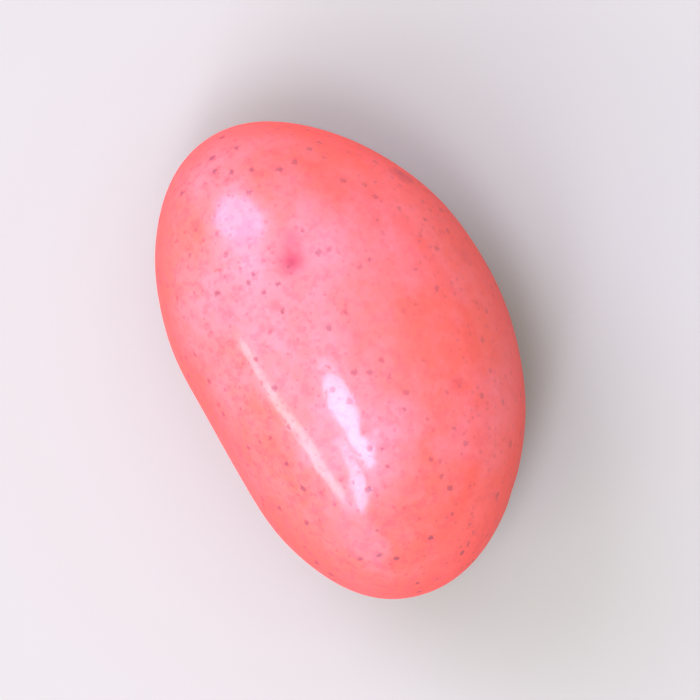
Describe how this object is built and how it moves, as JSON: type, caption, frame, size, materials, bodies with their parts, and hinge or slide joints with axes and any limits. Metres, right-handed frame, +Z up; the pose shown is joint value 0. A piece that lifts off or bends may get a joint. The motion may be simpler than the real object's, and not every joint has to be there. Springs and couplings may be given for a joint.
{
  "type": "jelly bean",
  "caption": "Coral pink speckled jelly bean with a glazed sugar shell, a hollow belly and round tips, lying on its broad side.",
  "frame": {"origin": "middle of the bean's box, on the surface that it rests on", "axes": "+X from tip to tip, +Y from the hollow belly to the rounded back, +Z up through the crown"},
  "size_m": [0.0164, 0.0104, 0.0091],
  "materials": {
    "glazed_shell": "gloss"
  },
  "bodies": {
    "root": {"bean": "glazed_shell"}
  },
  "joints": []
}
